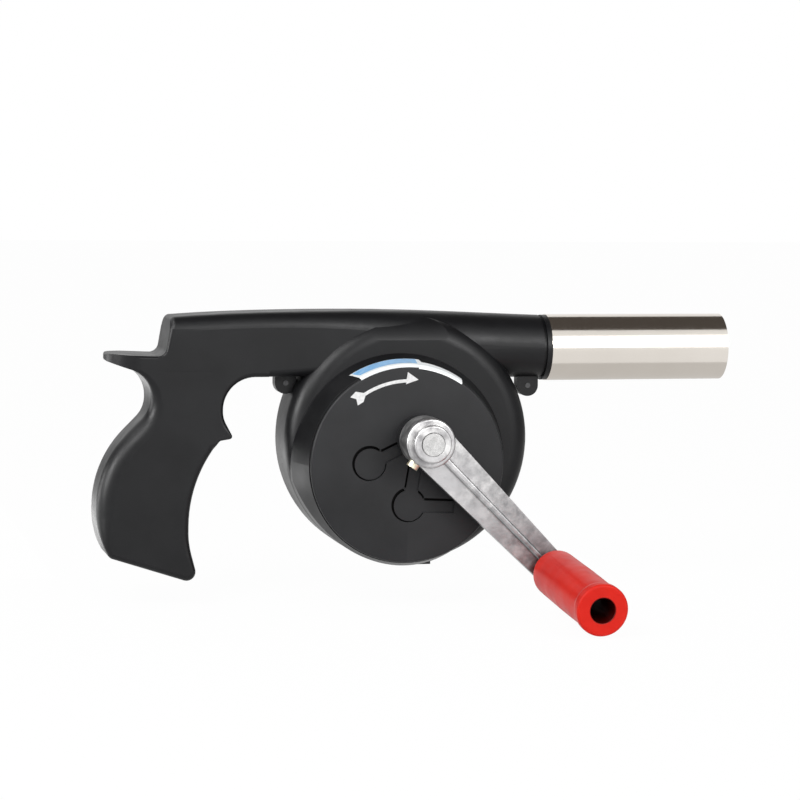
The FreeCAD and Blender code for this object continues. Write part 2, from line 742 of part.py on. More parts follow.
def partner_phase(teeth, phase, partner_teeth, start, end):
    """Phase that puts a gap of the partner on a tooth of the first gear."""
    line = math.atan2(end[1] - start[1], end[0] - start[0])
    return line + math.pi - (teeth / partner_teeth) * (phase - line) - math.pi / partner_teeth


def gear_node(label, discs, point, sleeve=None):
    """One or two toothed discs and their hub sleeve as one moulding."""
    shape = discs[0]
    for disc in discs[1:]:
        shape = shape.fuse(disc)
    if sleeve:
        inner, outer, start, end = sleeve
        tube = Part.makeCylinder(outer, end - start, Vector(0, start, 0), Vector(0, 1, 0))
        core = Part.makeCylinder(inner, end - start, Vector(0, start, 0), Vector(0, 1, 0))
        shape = shape.fuse(tube.cut(core))
    feature = doc.addObject("Part::Feature", label)
    feature.Shape = shape.removeSplitter()
    feature.Placement = Placement(Vector(point[0], 0, point[1]), Rotation())
    return keep(feature, label)


def gear_train():
    bore = size("axle_radius") + size("running_gap")
    drive = size("drive_teeth")
    pinion_1, gear_1 = size("first_pinion_teeth"), size("first_gear_teeth")
    pinion_2, gear_2 = size("second_pinion_teeth"), size("second_gear_teeth")
    pinion_3, gear_3 = size("third_pinion_teeth"), size("third_gear_teeth")
    pinion_4 = size("fan_pinion_teeth")
    pitch = size("gear_face") + size("gear_gap")
    front = size("gear_front")
    phase_1 = partner_phase(drive, 0, pinion_1, crank_centre, first_centre)
    phase_2 = partner_phase(gear_1, phase_1, pinion_2, first_centre, second_centre)
    phase_3 = partner_phase(gear_2, phase_2, pinion_3, second_centre, third_centre)
    phase_4 = partner_phase(gear_3, phase_3, pinion_4, third_centre, fan_centre)
    shaft = size("crank_shaft_radius") + 0.02
    gear_node("drive_gear", [toothed_disc(drive, 0, 0, shaft, 2)], crank_centre)
    plate = size("plate_front") + 0.3
    trains = [("first_idler_gear", pinion_1, gear_1, phase_1, first_centre, 0),
              ("second_idler_gear", pinion_2, gear_2, phase_2, second_centre, 1),
              ("third_idler_gear", pinion_3, gear_3, phase_3, third_centre, 2)]
    for label, pinion, gear, phase, point, layer in trains:
        discs = [toothed_disc(pinion, phase, layer, bore, 3),
                 toothed_disc(gear, phase, layer + 1, bore, 2)]
        start = -front + layer * pitch
        end = start + 2 * pitch - size("gear_gap")
        gear_node(label, discs, point, (bore, bore + 1.6, start, end))
    gear_node("fan_pinion", [toothed_disc(pinion_4, phase_4, 3, size("fan_shaft_radius") + 0.02,
                                          3)], fan_centre)
    spacers = []
    for label, pinion, gear, phase, point, layer in trains:
        start = -front + (layer + 2) * pitch - size("gear_gap") + 0.2
        x, z = point
        axle = rod(label.replace("gear", "axle"), "axle_radius",
                   "plate_front-plate_thickness", "cover_front-pocket_depth-pocket_skin",
                   (str(x), "0", str(z)), TO_FRONT)
        keep(axle, label.replace("gear", "axle"))
        length = -plate + 0.3 - start
        if length > 1:
            spacers.append(ring_shape(bore, bore + 1.2, start, length, point))
        ahead = layer * pitch + size("case_front") - front - 0.2
        if ahead > 1:
            spacers.append(ring_shape(bore, bore + 1.2, -size("case_front"), ahead, point))
    feature = doc.addObject("Part::Feature", "axle_spacers")
    feature.Shape = Part.makeCompound(spacers)
    keep(feature, "axle_spacers")


def ring_shape(inner, outer, start, length, point):
    base = Vector(point[0], start, point[1])
    along = Vector(0, 1, 0)
    return Part.makeCylinder(outer, length, base, along).cut(
        Part.makeCylinder(inner, length, base, along))


def gear_plate():
    disc = rod("plate_disc", "plate_radius", "plate_front-plate_thickness", "plate_front",
               CASE, TO_FRONT)
    front = size("plate_front")
    start = -front - 2
    end = size("plate_thickness") + 4 - front
    boss = hole("plate_bush_boss", size("bush_radius") + 1.5, -front,
                size("bush_length") - 0.8 - front, fan_centre)
    form = join("plate_form", disc, boss)
    tools = [hole("fan_bush_hole", size("bush_radius") + size("seat_gap"), start, end,
                  fan_centre)]
    for index, point in enumerate((first_centre, second_centre, third_centre)):
        tools.append(hole(f"axle_hole_{index + 1}", size("axle_radius") + 0.02, start, end,
                          point))
    for index, point in enumerate(plate_screw_points()):
        tools.append(hole(f"plate_screw_hole_{index + 1}", size("plate_screw_radius") + 0.1,
                          start, end, point))
    keep(cut("gear_plate", form, *tools), "gear_plate")
    screws = []
    high = size("plate_head_height")
    along = Vector(0, 1, 0)
    for x, z in plate_screw_points():
        head = Part.makeCylinder(size("plate_head_radius"), high, Vector(x, -front - high, z),
                                 along)
        shank = Part.makeCylinder(size("plate_screw_radius"), size("plate_screw_grip"),
                                  Vector(x, -front, z), along)
        screws.append(head.fuse(shank))
    feature = doc.addObject("Part::Feature", "plate_screws")
    feature.Shape = Part.makeCompound(screws)
    keep(feature, "plate_screws")


def plate_screw_points():
    x, z = centre(CASE)
    reach = (size("plate_seat_radius") + size("case_bore")) / 2 - 0.5
    turns = [math.radians(angle) for angle in (75, 195, 315)]
    return [(x + reach * math.cos(turn), z + reach * math.sin(turn)) for turn in turns]


# ------------------------------------------------------------------- fan
def fan():
    front = size("impeller_front")
    rear = size("impeller_rear")
    base = (FAN[0], "-impeller_front", FAN[2])
    hub = ring("impeller_hub", "fan_shaft_radius+0.02", "impeller_hub_radius", "0",
               "impeller_front+impeller_rear", base)
    disc = ring("impeller_back", "fan_shaft_radius+0.02", "impeller_radius", "0",
                "impeller_disc", base)
    blades = []
    x, z = fan_centre
    for index in range(int(size("blade_count"))):
        blade = doc.addObject("Part::Box", f"blade_{index + 1}")
        blade.Length = size("impeller_radius") - size("impeller_hub_radius") + 1
        blade.Width = front + rear
        blade.Height = size("blade_thickness")
        turn = Rotation(Vector(0, 1, 0), 360 * index / size("blade_count"))
        offset = turn.multVec(Vector(size("impeller_hub_radius") - 1, 0,
                                     -size("blade_thickness") / 2))
        blade.Placement = Placement(Vector(x, -front, z) + offset, turn)
        blades.append(blade)
    keep(join("impeller", hub, disc, *blades), "impeller")
    shaft_front = size("gear_front") - 3 * (size("gear_face") + size("gear_gap")) + 0.5
    rear_start = size("chamber_rear") - REAR_BUSH_SEAT
    shaft = hole("fan_shaft", size("fan_shaft_radius"), -shaft_front,
                 rear_start + size("bush_length") - 0.6, fan_centre)
    keep(shaft, "fan_shaft")
    front_start = -size("plate_front") - 0.7
    for label, start in (("front_fan_bush", front_start), ("rear_fan_bush", rear_start)):
        feature = doc.addObject("Part::Feature", label)
        feature.Shape = ring_shape(size("fan_shaft_radius") + size("running_gap"),
                                   size("bush_radius"), start, size("bush_length"), fan_centre)
        keep(feature, label)
    nut = doc.addObject("Part::Prism", "nut_blank")
    nut.Polygon = 6
    nut.Circumradius = 3.8
    nut.Height = 2.2
    nut.Placement = Placement(Vector(x, rear, z), Rotation(Vector(1, 0, 0), -90))
    nut_hole = hole("nut_hole", size("fan_shaft_radius") + 0.02, rear - 1, rear + 4, fan_centre)
    keep(cut("impeller_nut", nut, nut_hole), "impeller_nut")


# ----------------------------------------------------------------- crank
arm_turn = math.radians(size("arm_angle"))
arm_way = Vector(math.cos(arm_turn), 0, -math.sin(arm_turn))
arm_side = Vector(math.sin(arm_turn), 0, math.cos(arm_turn))
crank_point = Vector(crank_centre[0], 0, crank_centre[1])
knob_point = crank_point + arm_way * size("arm_length")
KNOB_TURN = Rotation(Vector(1, 0, 0), size("knob_tilt")) * TO_FRONT
ARM_REAR = "arm_thickness-arm_front"
KNOB = (str(knob_point.x), ARM_REAR, str(knob_point.z))


def arm_corners(start, start_half, end, end_half):
    """Tapered strip along the arm, as (x, z, rounding) corners."""
    corners = []
    for along, across in ((start, start_half), (end, end_half), (end, -end_half),
                          (start, -start_half)):
        point = crank_point + arm_way * along + arm_side * across
        corners.append((point.x, point.z, 0))
    return corners


def crank():
    strip = prism("arm_strip", arm_corners(0, size("arm_hub_half"), size("arm_length"),
                                           size("arm_knob_half")),
                  "arm_thickness", ("0", ARM_REAR, "0"))
    rib_end = size("arm_length") - size("washer_radius") - 0.3
    rib_block = prism("arm_rib", arm_corners(size("crank_hub_radius") - 2, size("rib_width") / 2,
                                             rib_end, size("rib_width") / 2 - 0.3),
                      "rib_height+arm_thickness", ("0", ARM_REAR, "0"))
    rib_form = round_edges("arm_rib_rounded", rib_block, rib_edge)
    hub = lathe_rounded("arm_hub", [
        (0, size("crank_hub_rear"), 0),
        (size("crank_hub_radius"), size("crank_hub_rear"), 0.8),
        (size("crank_hub_radius"), size("crank_hub_front"), 1.0),
        (size("crank_step_radius"), size("crank_hub_front"), 0),
        (size("crank_step_radius"), size("crank_step_front"), 0.8),
        (0, size("crank_step_front"), 0)], CRANK, TO_FRONT)
    end = lathe_rounded("arm_end", [(0, -0.6, 0), (size("arm_knob_half"), -0.6, 0.3),
                                    (size("arm_knob_half"), size("arm_thickness") + 1.1, 0.5),
                                    (0, size("arm_thickness") + 1.1, 0)], KNOB, KNOB_TURN)
    form = join("arm_form", strip, rib_form, hub, end)
    bore = rod("crank_bore", "crank_shaft_radius+0.02", "crank_hub_rear-2",
               "crank_step_front+2", CRANK, TO_FRONT)
    end_bore = rod("shaft_end_bore", "shaft_end_radius+shaft_end_gap",
                   "crank_shaft_front-shaft_end_length", "crank_step_front+2", CRANK, TO_FRONT)
    pin_bore = rod("pin_bore", "knob_pin_radius+0.02", "-3", "20", KNOB, KNOB_TURN)
    screw_hole = set_screw("set_screw_hole", 0.03)
    keep(cut("crank_arm", form, bore, end_bore, pin_bore, screw_hole), "crank_arm")
    screw = set_screw("set_screw_blank", 0)
    slot = doc.addObject("Part::Box", "set_screw_slot")
    slot.Length = 3 * size("set_screw_radius")
    slot.Width = 0.8
    slot.Height = 2
    turn = screw_turn()
    top = crank_point + screw_way() * (size("crank_shaft_radius") + size("set_screw_length")
                                       - 0.9) + Vector(0, -size("set_screw_front"), 0)
    corner = turn.multVec(Vector(-slot.Length.Value / 2, -slot.Width.Value / 2, 0))
    slot.Placement = Placement(top + corner, turn)
    keep(cut("crank_set_screw", screw, slot), "crank_set_screw")
    shaft = lathe("crank_shaft", [("0", "gear_front-4.6"),
                                  ("crank_shaft_radius", "gear_front-4.6"),
                                  ("crank_shaft_radius", "crank_shaft_front-shaft_end_length"),
                                  ("shaft_end_radius", "crank_shaft_front-shaft_end_length"),
                                  ("shaft_end_radius", "crank_shaft_front"),
                                  ("0", "crank_shaft_front")], CRANK, TO_FRONT)
    keep(shaft, "crank_shaft")
    keep(ring("crank_bush", "crank_shaft_radius+running_gap", "crank_bush_radius",
              "gear_front+0.5", "hub_boss_front+0.3", CRANK, TO_FRONT), "crank_bush")
    keep(ring("crank_washer", "crank_shaft_radius+0.02", "crank_bush_radius+1",
              "hub_boss_front+0.4", "crank_hub_rear-0.05", CRANK, TO_FRONT), "crank_washer")


def rib_edge(edge):
    """Radii for the edges along the front of the arm's middle rib."""
    level = -size("arm_front") - size("rib_height")
    for vertex in edge.Vertexes:
        if abs(vertex.Point.y - level) > 1e-6:
            return None
    return size("rib_round"), size("rib_round")


def screw_way():
    angle = math.radians(size("set_screw_angle"))
    return Vector(math.cos(angle), 0, math.sin(angle))


def screw_turn():
    """Turns +Z onto the set screw's outward direction."""
    return Rotation(Vector(0, 0, 1), screw_way())


def set_screw(name, clearance):
    """Round blank of the set screw, radial in the hub."""
    blank = doc.addObject("Part::Cylinder", name)
    blank.Radius = size("set_screw_radius") + clearance
    blank.Height = size("set_screw_length")
    start = crank_point + screw_way() * (size("crank_shaft_radius") + 0.1)
    blank.Placement = Placement(start - Vector(0, size("set_screw_front"), 0), screw_turn())
    return blank


def knob():
    begin = size("arm_thickness") + 1.2 + size("washer_thickness") + 0.1
    end = begin + size("knob_length")
    floor = end - size("knob_bore_depth")
    inner = size("knob_pin_radius") + size("running_gap")
    rim = end - size("knob_rim")
    sleeve = lathe_rounded("knob_sleeve", [
        (inner, begin, 0), (size("knob_waist") - 0.2, begin, 4.0),
        (size("knob_waist"), begin + size("knob_length") / 2, 120),
        (size("knob_neck"), rim - 2.5, 6.0), (size("knob_radius"), rim, 4.0),
        (size("knob_radius"), end, 1.2), (size("knob_bore"), end, 0.5),
        (size("knob_bore"), floor, 0), (inner, floor, 0)], KNOB, KNOB_TURN)
    keep(sleeve, "knob_sleeve")
    radius = size("knob_pin_radius")
    head = size("pin_head_radius")
    pin = lathe_rounded("knob_pin", [
        (0, -2.2, 0), (5.2, -2.2, 0.6), (5.2, -0.62, 0), (radius, -0.62, 0),
        (radius, floor + 0.3, 0), (head, floor + 0.3, 0),
        (head, floor + 0.3 + size("pin_head_length"), 0.5),
        (0, floor + 0.3 + size("pin_head_length"), 0)], KNOB, KNOB_TURN)
    keep(pin, "knob_pin")
    washer_start = size("arm_thickness") + 1.15
    washer = lathe_rounded("knob_washer", [
        (radius + 0.05, washer_start, 0), (size("washer_radius"), washer_start, 0),
        (size("washer_radius"), washer_start + size("washer_thickness"), 0),
        (radius + 0.05, washer_start + size("washer_thickness"), 0)], KNOB, KNOB_TURN)
    keep(washer, "knob_washer")


# ------------------------------------------------------- tube and screws
def nozzle():
    keep(ring("nozzle_tube", "tube_radius-tube_wall", "tube_radius", "0", "tube_exposed",
              MOUTH, ALONG_TUBE), "nozzle_tube")
    inner = "tube_radius-tube_wall-collar_sleeve"
    outer = "tube_radius-tube_wall-seat_gap"
    profile = [(inner, "tube_exposed-tube_overlap"), (outer, "tube_exposed-tube_overlap"),
               (outer, "tube_exposed"), ("collar_radius", "tube_exposed"),
               ("collar_radius", "tube_exposed+collar_length"),
               (inner, "tube_exposed+collar_length")]
    keep(lathe("nozzle_collar", profile, MOUTH, ALONG_TUBE), "nozzle_collar")


def shell_screws():
    screws = []
    half = size("shell_half_width")
    for point in SCREWS:
        x, z = point
        in_lug = point in (LEFT_LUG, RIGHT_LUG)
        seat = size("lug_thickness") if in_lug else half - size("head_recess")
        start = -size("lug_thickness") - 0.3 if in_lug else -half + 4
        shank = Part.makeCylinder(size("screw_radius"), seat - start, Vector(x, start, z),
                                  Vector(0, 1, 0))
        head = Part.makeCylinder(size("screw_head_radius"), size("screw_head_height"),
                                 Vector(x, seat, z), Vector(0, 1, 0))
        screws.append(shank.fuse(head))
    feature = doc.addObject("Part::Feature", "shell_screws")
    feature.Shape = Part.makeCompound(screws)
    keep(feature, "shell_screws")


shells()
nozzle()
gear_cover()
gear_plate()
gear_train()
fan()
crank()
knob()
shell_screws()
doc.recompute()

for feature in doc.Objects:
    if {"Invalid", "Error"} & set(feature.State):
        raise RuntimeError(f"{feature.Name}: {feature.State}")
for feature in NODES:
    shape = feature.Shape
    if shape.isNull() or not shape.isValid():
        raise RuntimeError(f"{feature.Label} has no valid shape")
for feature in NODES:
    feature.Shape.exportStep(f"parts/{feature.Label}.step")
    print(feature.Label, len(feature.Shape.Solids), round(feature.Shape.Volume, 1))
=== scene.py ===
import json
import math

import bmesh
import bpy
from mathutils import Matrix, Vector


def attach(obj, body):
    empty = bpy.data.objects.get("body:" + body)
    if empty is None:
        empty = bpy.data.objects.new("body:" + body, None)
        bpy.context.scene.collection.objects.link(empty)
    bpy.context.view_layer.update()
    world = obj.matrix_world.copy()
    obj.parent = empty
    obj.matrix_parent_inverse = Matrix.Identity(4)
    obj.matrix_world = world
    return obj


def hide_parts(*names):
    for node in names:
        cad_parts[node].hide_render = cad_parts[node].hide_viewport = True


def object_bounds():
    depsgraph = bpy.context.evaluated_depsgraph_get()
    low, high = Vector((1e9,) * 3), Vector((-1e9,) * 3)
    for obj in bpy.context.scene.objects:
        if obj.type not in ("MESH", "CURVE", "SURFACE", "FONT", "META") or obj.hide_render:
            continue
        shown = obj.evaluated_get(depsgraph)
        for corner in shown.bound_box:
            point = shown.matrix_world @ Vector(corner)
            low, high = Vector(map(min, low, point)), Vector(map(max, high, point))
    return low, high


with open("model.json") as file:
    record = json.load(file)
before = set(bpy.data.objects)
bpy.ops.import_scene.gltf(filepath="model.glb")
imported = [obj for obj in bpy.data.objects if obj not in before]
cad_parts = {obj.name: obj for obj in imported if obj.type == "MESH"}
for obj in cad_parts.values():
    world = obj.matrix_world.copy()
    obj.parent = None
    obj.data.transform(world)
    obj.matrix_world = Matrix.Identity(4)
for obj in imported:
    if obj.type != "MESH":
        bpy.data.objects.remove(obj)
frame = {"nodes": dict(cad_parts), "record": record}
bounds_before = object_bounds()
scene = bpy.context.scene
MM = 0.001

# Axes of the round parts as (x, z), in millimetres.
CASE_CENTRE = (-155.9, -49.3)
CRANK_CENTRE = (-150.7, -37.6)
POCKETS = ((-173.445, -48.449), (-155.486, -67.250), (-135.373, -54.155))

# Gear case and cover, in millimetres. A depth is a distance from y = 0 towards the viewer.
CASE_FRONT_DEPTH = 32.0
CASE_FOOT_DEPTH = 15.0
CASE_FRONT_RADIUS = 44.4
CASE_FOOT_RADIUS = 49.0
COVER_DEPTH = 34.3
COVER_RADIUS = 43.9
COVER_ROUNDING = 1.0
POCKET_RADIUS = 7.85
CHANNEL_HALF_WIDTH = 3.25
CHANNEL_START = 7.3
GROOVE_DEPTH = 32.3
GROOVE_WIDTH = 0.9
GROOVE_SHIFT = 0.5

# Sticker, in millimetres, and degrees about the case's axis. Its wide left part ends at the step.
LABEL_OUTER_DEPTH = 24.6
LABEL_INNER_DEPTH = 31.9
LABEL_LEAST_WIDTH = 0.2
LABEL_EDGE_LIFT = 0.1
LABEL_WHITE_LIFT = 0.07
LABEL_BLUE_LIFT = 0.11
LABEL_START = 119.6
LABEL_STEP = 84.0
LABEL_END = 56.0

# Arrow, in millimetres from the case's axis.
ARROW_RADIUS = 37.4
ARROW_HALF_WIDTH = 0.72
ARROW_LIFT = 0.05

# The crank's hub and the knob's pin at rest, the radius of the knob's bore, inside which the knob
# is painted near-black as shade, and the depth below which the cover's grooves are rougher and
# painted near-black as shade, in metres.
HUB_PLACE = (-0.1507, -0.050, -0.0376)
KNOB_PLACE = (-0.0928891, -0.0445, -0.095613)
KNOB_AXIS = (0.0, -0.99756, -0.06976)
KNOB_BORE = 0.0054
DULL_SHADE_DEPTH = 0.0330
DULL_SHADE_BORDER = 0.0003


# ------------------------------------------------------------ materials
class Look:
    """A material, with short ways to build its node tree."""

    def __init__(self, name):
        self.material = bpy.data.materials.new(name)
        self.material.use_nodes = True
        self.tree = self.material.node_tree
        self.shader = self.tree.nodes["Principled BSDF"]
        self.place = self.add("ShaderNodeTexCoord").outputs["Object"]

    def add(self, kind, **values):
        node = self.tree.nodes.new(kind)
        for name, value in values.items():
            setattr(node, name, value)
        return node

    def link(self, source, target):
        self.tree.links.new(source, target)

    def put(self, socket, value):
        """Feed a socket from another one, or give it a plain value or colour."""
        if isinstance(value, bpy.types.NodeSocket):
            self.link(value, socket)
        elif socket.type == "RGBA":
            socket.default_value = (*value, 1.0)
        else:
            socket.default_value = value

    def set(self, name, value):
        """Put a value or a socket on one of the shader's own inputs."""
        self.put(self.shader.inputs[name], value)

    def along(self, axis):
        """The place along X, Y or Z, in metres."""
        node = self.add("ShaderNodeSeparateXYZ")
        self.link(self.place, node.inputs["Vector"])
        return node.outputs[axis]

    def stretched(self, scale):
        mapping = self.add("ShaderNodeMapping")
        mapping.inputs["Scale"].default_value = scale
        self.link(self.place, mapping.inputs["Vector"])
        return mapping.outputs["Vector"]

    def noise(self, scale, detail=4.0, roughness=0.5, vector=None):
        node = self.add("ShaderNodeTexNoise")
        node.inputs["Scale"].default_value = scale
        node.inputs["Detail"].default_value = detail
        node.inputs["Roughness"].default_value = roughness
        self.link(vector or self.place, node.inputs["Vector"])
        return node.outputs["Fac"]

    def spread(self, source, low, high, out_low=0.0, out_high=1.0):
        """Stretch a value between low and high to another range."""
        node = self.add("ShaderNodeMapRange")
        node.inputs["From Min"].default_value = low
        node.inputs["From Max"].default_value = high
        node.inputs["To Min"].default_value = out_low
        node.inputs["To Max"].default_value = out_high
        self.link(source, node.inputs["Value"])
        return node.outputs["Result"]

    def blend(self, factor, first, second):
        """Colour between first and second; each is a colour or a socket."""
        node = self.add("ShaderNodeMix", data_type="RGBA")
        self.link(factor, node.inputs["Factor"])
        self.put(node.inputs[6], first)
        self.put(node.inputs[7], second)
        return node.outputs[2]

    def calculate(self, operation, first, second):
        node = self.add("ShaderNodeMath", operation=operation)
        self.put(node.inputs[0], first)
        self.put(node.inputs[1], second)
        return node.outputs["Value"]

    def vector(self, operation, *values):
        """Vector arithmetic; a length or a distance comes out as a number."""
        node = self.add("ShaderNodeVectorMath", operation=operation)
        for socket, value in zip(node.inputs, values):
            self.put(socket, value)
        return node.outputs["Value" if operation in ("LENGTH", "DISTANCE") else "Vector"]

    def bump(self, source, distance, strength=1.0, below=None):
        """Surface normal from a height, on top of the bump below it."""
        node = self.add("ShaderNodeBump")
        node.inputs["Distance"].default_value = distance
        node.inputs["Strength"].default_value = strength
        self.link(source, node.inputs["Height"])
        if below:
            self.link(below, node.inputs["Normal"])
        return node.outputs["Normal"]


def moulded_black(name, colour, roughness, grain, dull_shade_depth=None):
    """Satin moulded plastic with fine grain and faint handling marks.

    Below the given depth, in metres, it is rougher and painted near-black, a painted shade as at
    the bottom of the grooves.
    """
    m = Look(name)
    lighter = tuple(value * 1.35 + 0.001 for value in colour)
    tone = m.blend(m.spread(m.noise(38.0, 3.0), 0.35, 0.65), colour, lighter)
    rubbed = m.noise(95.0, 5.0, 0.6)
    rough = m.spread(rubbed, 0.3, 0.7, roughness - 0.045, roughness + 0.05)
    if dull_shade_depth:
        # Painted shade: below the given depth the colour turns near-black, and the surface is
        # also rougher.
        dull_and_painted_shade = m.spread(m.along("Y"), -dull_shade_depth, DULL_SHADE_BORDER - dull_shade_depth)
        tone = m.blend(dull_and_painted_shade, tone, (0.001, 0.001, 0.001))
        rough = m.calculate("MAXIMUM", rough, dull_and_painted_shade)
    m.set("Base Color", tone)
    m.set("Roughness", rough)
    swell = m.bump(m.noise(55.0, 1.0), 0.00022, 0.35)
    m.set("Normal", m.bump(m.noise(2600.0, 2.0), 0.00002, grain, swell))
    m.set("Specular IOR Level", 0.24)
    return m.material


def polished_tube(name):
    """Bright rolled steel with very fine rings and lengthwise lines."""
    m = Look(name)
    m.set("Metallic", 1.0)
    tone = m.spread(m.noise(24.0, 3.0), 0.3, 0.7)
    m.set("Base Color", m.blend(tone, (0.70, 0.655, 0.60), (0.76, 0.715, 0.66)))
    rings = m.noise(1.0, 3.0, 0.6, m.stretched((5200.0, 40.0, 40.0)))
    lines = m.noise(1.0, 2.0, 0.6, m.stretched((60.0, 3000.0, 3000.0)))
    both = m.calculate("ADD", rings, lines)
    m.set("Roughness", m.spread(both, 0.6, 1.4, 0.09, 0.19))
    m.set("Normal", m.bump(both, 0.000002, 0.35))
    return m.material


def cast_metal(name):
    """Tumbled die-cast metal with stains and small pits, darker away from the hub."""
    m = Look(name)
    m.set("Metallic", 1.0)
    stain = m.spread(m.noise(170.0, 6.0, 0.62), 0.36, 0.62)
    cloud = m.spread(m.noise(42.0, 4.0, 0.55), 0.38, 0.62)
    light = m.blend(stain, (0.68, 0.675, 0.67), (0.27, 0.265, 0.27))
    mixed = m.blend(cloud, light, (0.45, 0.445, 0.45))
    # The colour turns darker from 10 to 75 mm away from the hub.
    darker_far_colour = m.blend(stain, (0.31, 0.315, 0.32), (0.15, 0.155, 0.16))
    hub_distance_share = m.spread(m.vector("DISTANCE", m.place, HUB_PLACE), 0.010, 0.075)
    m.set("Base Color", m.blend(hub_distance_share, mixed, darker_far_colour))
    m.set("Roughness", m.spread(m.noise(320.0, 5.0, 0.6), 0.3, 0.7, 0.30, 0.50))
    pits = m.add("ShaderNodeTexVoronoi")
    pits.inputs["Scale"].default_value = 620.0
    m.link(m.place, pits.inputs["Vector"])
    dents = m.spread(pits.outputs["Distance"], 0.0, 0.45)
    rolling = m.bump(m.noise(240.0, 4.0), 0.00009, 0.55)
    m.set("Normal", m.bump(dents, 0.00004, 0.35, rolling))
    return m.material


def glossy_red(name):
    """Red moulded plastic with a soft shine, slight ripples and painted shade darkening its bore.
    """
    m = Look(name)
    shade = m.spread(m.noise(70.0, 3.0), 0.3, 0.7)
    red = m.blend(shade, (0.54, 0.012, 0.007), (0.63, 0.019, 0.010))
    # Painted shade: within the bore's radius of the pin's axis the red turns almost black.
    across = m.vector("CROSS_PRODUCT", m.vector("SUBTRACT", m.place, KNOB_PLACE), KNOB_AXIS)
    from_axis = m.vector("LENGTH", across)
    outside_painted_bore_shade = m.spread(from_axis, KNOB_BORE + 0.0001, KNOB_BORE + 0.0006)
    m.set("Base Color", m.blend(outside_painted_bore_shade, (0.05, 0.0015, 0.001), red))
    m.set("Roughness", m.spread(m.noise(150.0, 4.0), 0.3, 0.7, 0.32, 0.44))
    m.set("Specular IOR Level", 0.12)
    m.set("Subsurface Weight", 0.05)
    m.set("Subsurface Scale", 0.002)
    ripple = m.bump(m.noise(60.0, 2.0), 0.0002, 0.4)
    m.set("Normal", m.bump(m.noise(1800.0, 2.0), 0.00001, 0.3, ripple))
    return m.material


def turned_metal(name, colour, roughness, rings):
    """Machined metal with fine turning marks."""
    m = Look(name)
    m.set("Metallic", 1.0)
    darker = tuple(value * 0.82 for value in colour)
    m.set("Base Color", m.blend(m.spread(m.noise(300.0, 4.0), 0.35, 0.65), colour, darker))
    marks = m.noise(rings, 3.0, 0.6)
    m.set("Roughness", m.spread(marks, 0.3, 0.7, roughness - 0.06, roughness + 0.08))
    m.set("Normal", m.bump(marks, 0.00001, 0.3))
    return m.material


def plain_plastic(name, colour, roughness):
    """Unpainted plastic of the inside parts."""
    m = Look(name)
    shade = tuple(value * 0.9 for value in colour)
    m.set("Base Color", m.blend(m.spread(m.noise(120.0, 3.0), 0.3, 0.7), colour, shade))
    m.set("Roughness", roughness)
    m.set("Normal", m.bump(m.noise(900.0, 2.0), 0.00002, 0.3))
    return m.material


def sticker_white():
    """White film, very slightly uneven."""
    m = Look("sticker_white")
    uneven = m.spread(m.noise(140.0), 0.3, 0.7)
    m.set("Base Color", m.blend(uneven, (0.86, 0.88, 0.88), (0.80, 0.83, 0.84)))
    m.set("Roughness", 0.3)
    return m.material


def sticker_blue():
    """Mottled blue field of the sticker, greyer to the right."""
    m = Look("sticker_blue")
    fade = m.spread(m.along("X"), -0.180, -0.148)
    tint = m.blend(fade, (0.16, 0.42, 0.74), (0.34, 0.47, 0.63))
    mottle = m.spread(m.noise(420.0, 3.0), 0.4, 0.6)
    m.set("Base Color", m.blend(mottle, tint, (0.30, 0.52, 0.78)))
    m.set("Roughness", 0.28)
    return m.material


def print_white():
    """Worn white print."""
    m = Look("print_white")
    worn = m.spread(m.noise(700.0, 4.0), 0.3, 0.62)
    m.set("Base Color", m.blend(worn, (0.56, 0.56, 0.56), (0.70, 0.70, 0.70)))
    m.set("Roughness", 0.45)
    return m.material


MATERIALS = {
    "shell_plastic": moulded_black("shell_black", (0.0045, 0.0046, 0.0053), 0.38, 0.45),
    "cover_plastic": moulded_black("cover_black", (0.0125, 0.0127, 0.0138), 0.42, 0.55,
                                   DULL_SHADE_DEPTH),
    "tube_steel": polished_tube("tube_bright"),
    "crank_metal": cast_metal("crank_cast"),
    "knob_plastic": glossy_red("knob_red"),
    "brass_parts": turned_metal("brass", (0.78, 0.56, 0.24), 0.26, 900.0),
    "steel_parts": turned_metal("bright_steel", (0.66, 0.655, 0.65), 0.24, 1400.0),
    "gear_plastic": plain_plastic("gear_white", (0.78, 0.76, 0.70), 0.38),
    "fan_plastic": plain_plastic("fan_grey", (0.06, 0.06, 0.065), 0.42),
}
# Two nodes look unlike the rest of their slot.
SPECIAL = {
    "crank_set_screw": turned_metal("pale_brass", (0.86, 0.80, 0.62), 0.30, 900.0),
    "shell_screws": turned_metal("dull_steel", (0.07, 0.07, 0.072), 0.45, 1400.0),
}
node_slots = {row["node"]: row["material_slot"] for row in frame["record"]["subparts"]}
for node, obj in frame["nodes"].items():
    obj.data.materials.clear()
    obj.data.materials.append(SPECIAL.get(node, MATERIALS[node_slots[node]]))


# -------------------------------------------------------------- helpers
def between(first, last, count):
    return [first + (last - first) * i / (count - 1) for i in range(count)]


def around(centre, radius, angle):
    """The (x, z) point at a radius and an angle, in degrees, about a centre."""
    turn = math.radians(angle)
    return (centre[0] + radius * math.cos(turn), centre[1] + radius * math.sin(turn))


def on_case(radius, angle, depth):
    """A point of the gear case or its cover, about the case's axis."""
    x, z = around(CASE_CENTRE, radius, angle)
    return (x, -depth, z)


def new_object(name, points, faces, scale=MM):
    """A mesh object in the scene, its points in millimetres unless scale is 1."""
    data = bpy.data.meshes.new(name)
    data.from_pydata([tuple(value * scale for value in point) for point in points], [], faces)
    data.update()
    obj = bpy.data.objects.new(name, data)
    scene.collection.objects.link(obj)
    return obj


